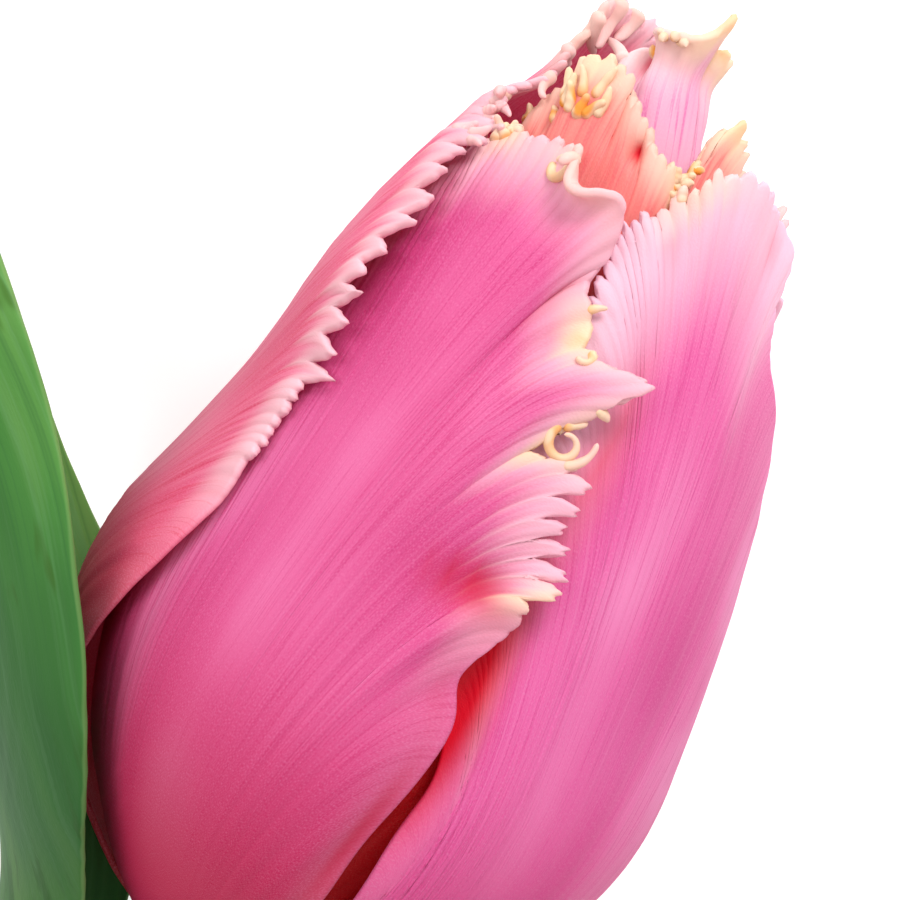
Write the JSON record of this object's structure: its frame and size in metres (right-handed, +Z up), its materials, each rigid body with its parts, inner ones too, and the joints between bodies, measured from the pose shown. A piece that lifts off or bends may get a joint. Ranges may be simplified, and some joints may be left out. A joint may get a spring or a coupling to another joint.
{
  "type": "fringed tulip",
  "caption": "Cut fringed tulip lying on its side: nearly closed pink bloom of overlapping fringed tepals, slim curved stem and clasping channelled leaves.",
  "frame": {"origin": "centre of the small flat spot under the bloom's belly, on the surface that the flower lies on", "axes": "+X along the bloom's axis from base to tip, which is also the longest way through the flower; +Z up, off the surface; +Y to the side of the upper leaf"},
  "size_m": [0.3108, 0.1639, 0.0393],
  "materials": {
    "stem": "fresh green stalk, smooth with a thin waxy bloom",
    "leaf": "blue-green leaf with fine lengthwise veins and a waxy satin surface",
    "outer_tepals": "deep pink petal, satin, with darker fanned veins and a pale cream fringe",
    "inner_tepals": "lighter pink petal, satin, with purple veins and an orange-yellow fringe",
    "pistil": "pale yellow-green, moist satin",
    "stamens": "pale filaments with dusty purple-black anthers"
  },
  "bodies": {
    "root": {"stem": "stem", "leaf_upper": "leaf", "leaf_lower": "leaf", "tepal_front_left": "outer_tepals", "tepal_front_right": "outer_tepals", "tepal_left": "outer_tepals", "tepal_back_right": "outer_tepals", "tepal_inner_front": "inner_tepals", "tepal_inner_right": "inner_tepals", "pistil": "pistil", "stamen_1": "stamens", "stamen_2": "stamens", "stamen_3": "stamens", "stamen_4": "stamens", "stamen_5": "stamens", "stamen_6": "stamens"}
  },
  "joints": []
}
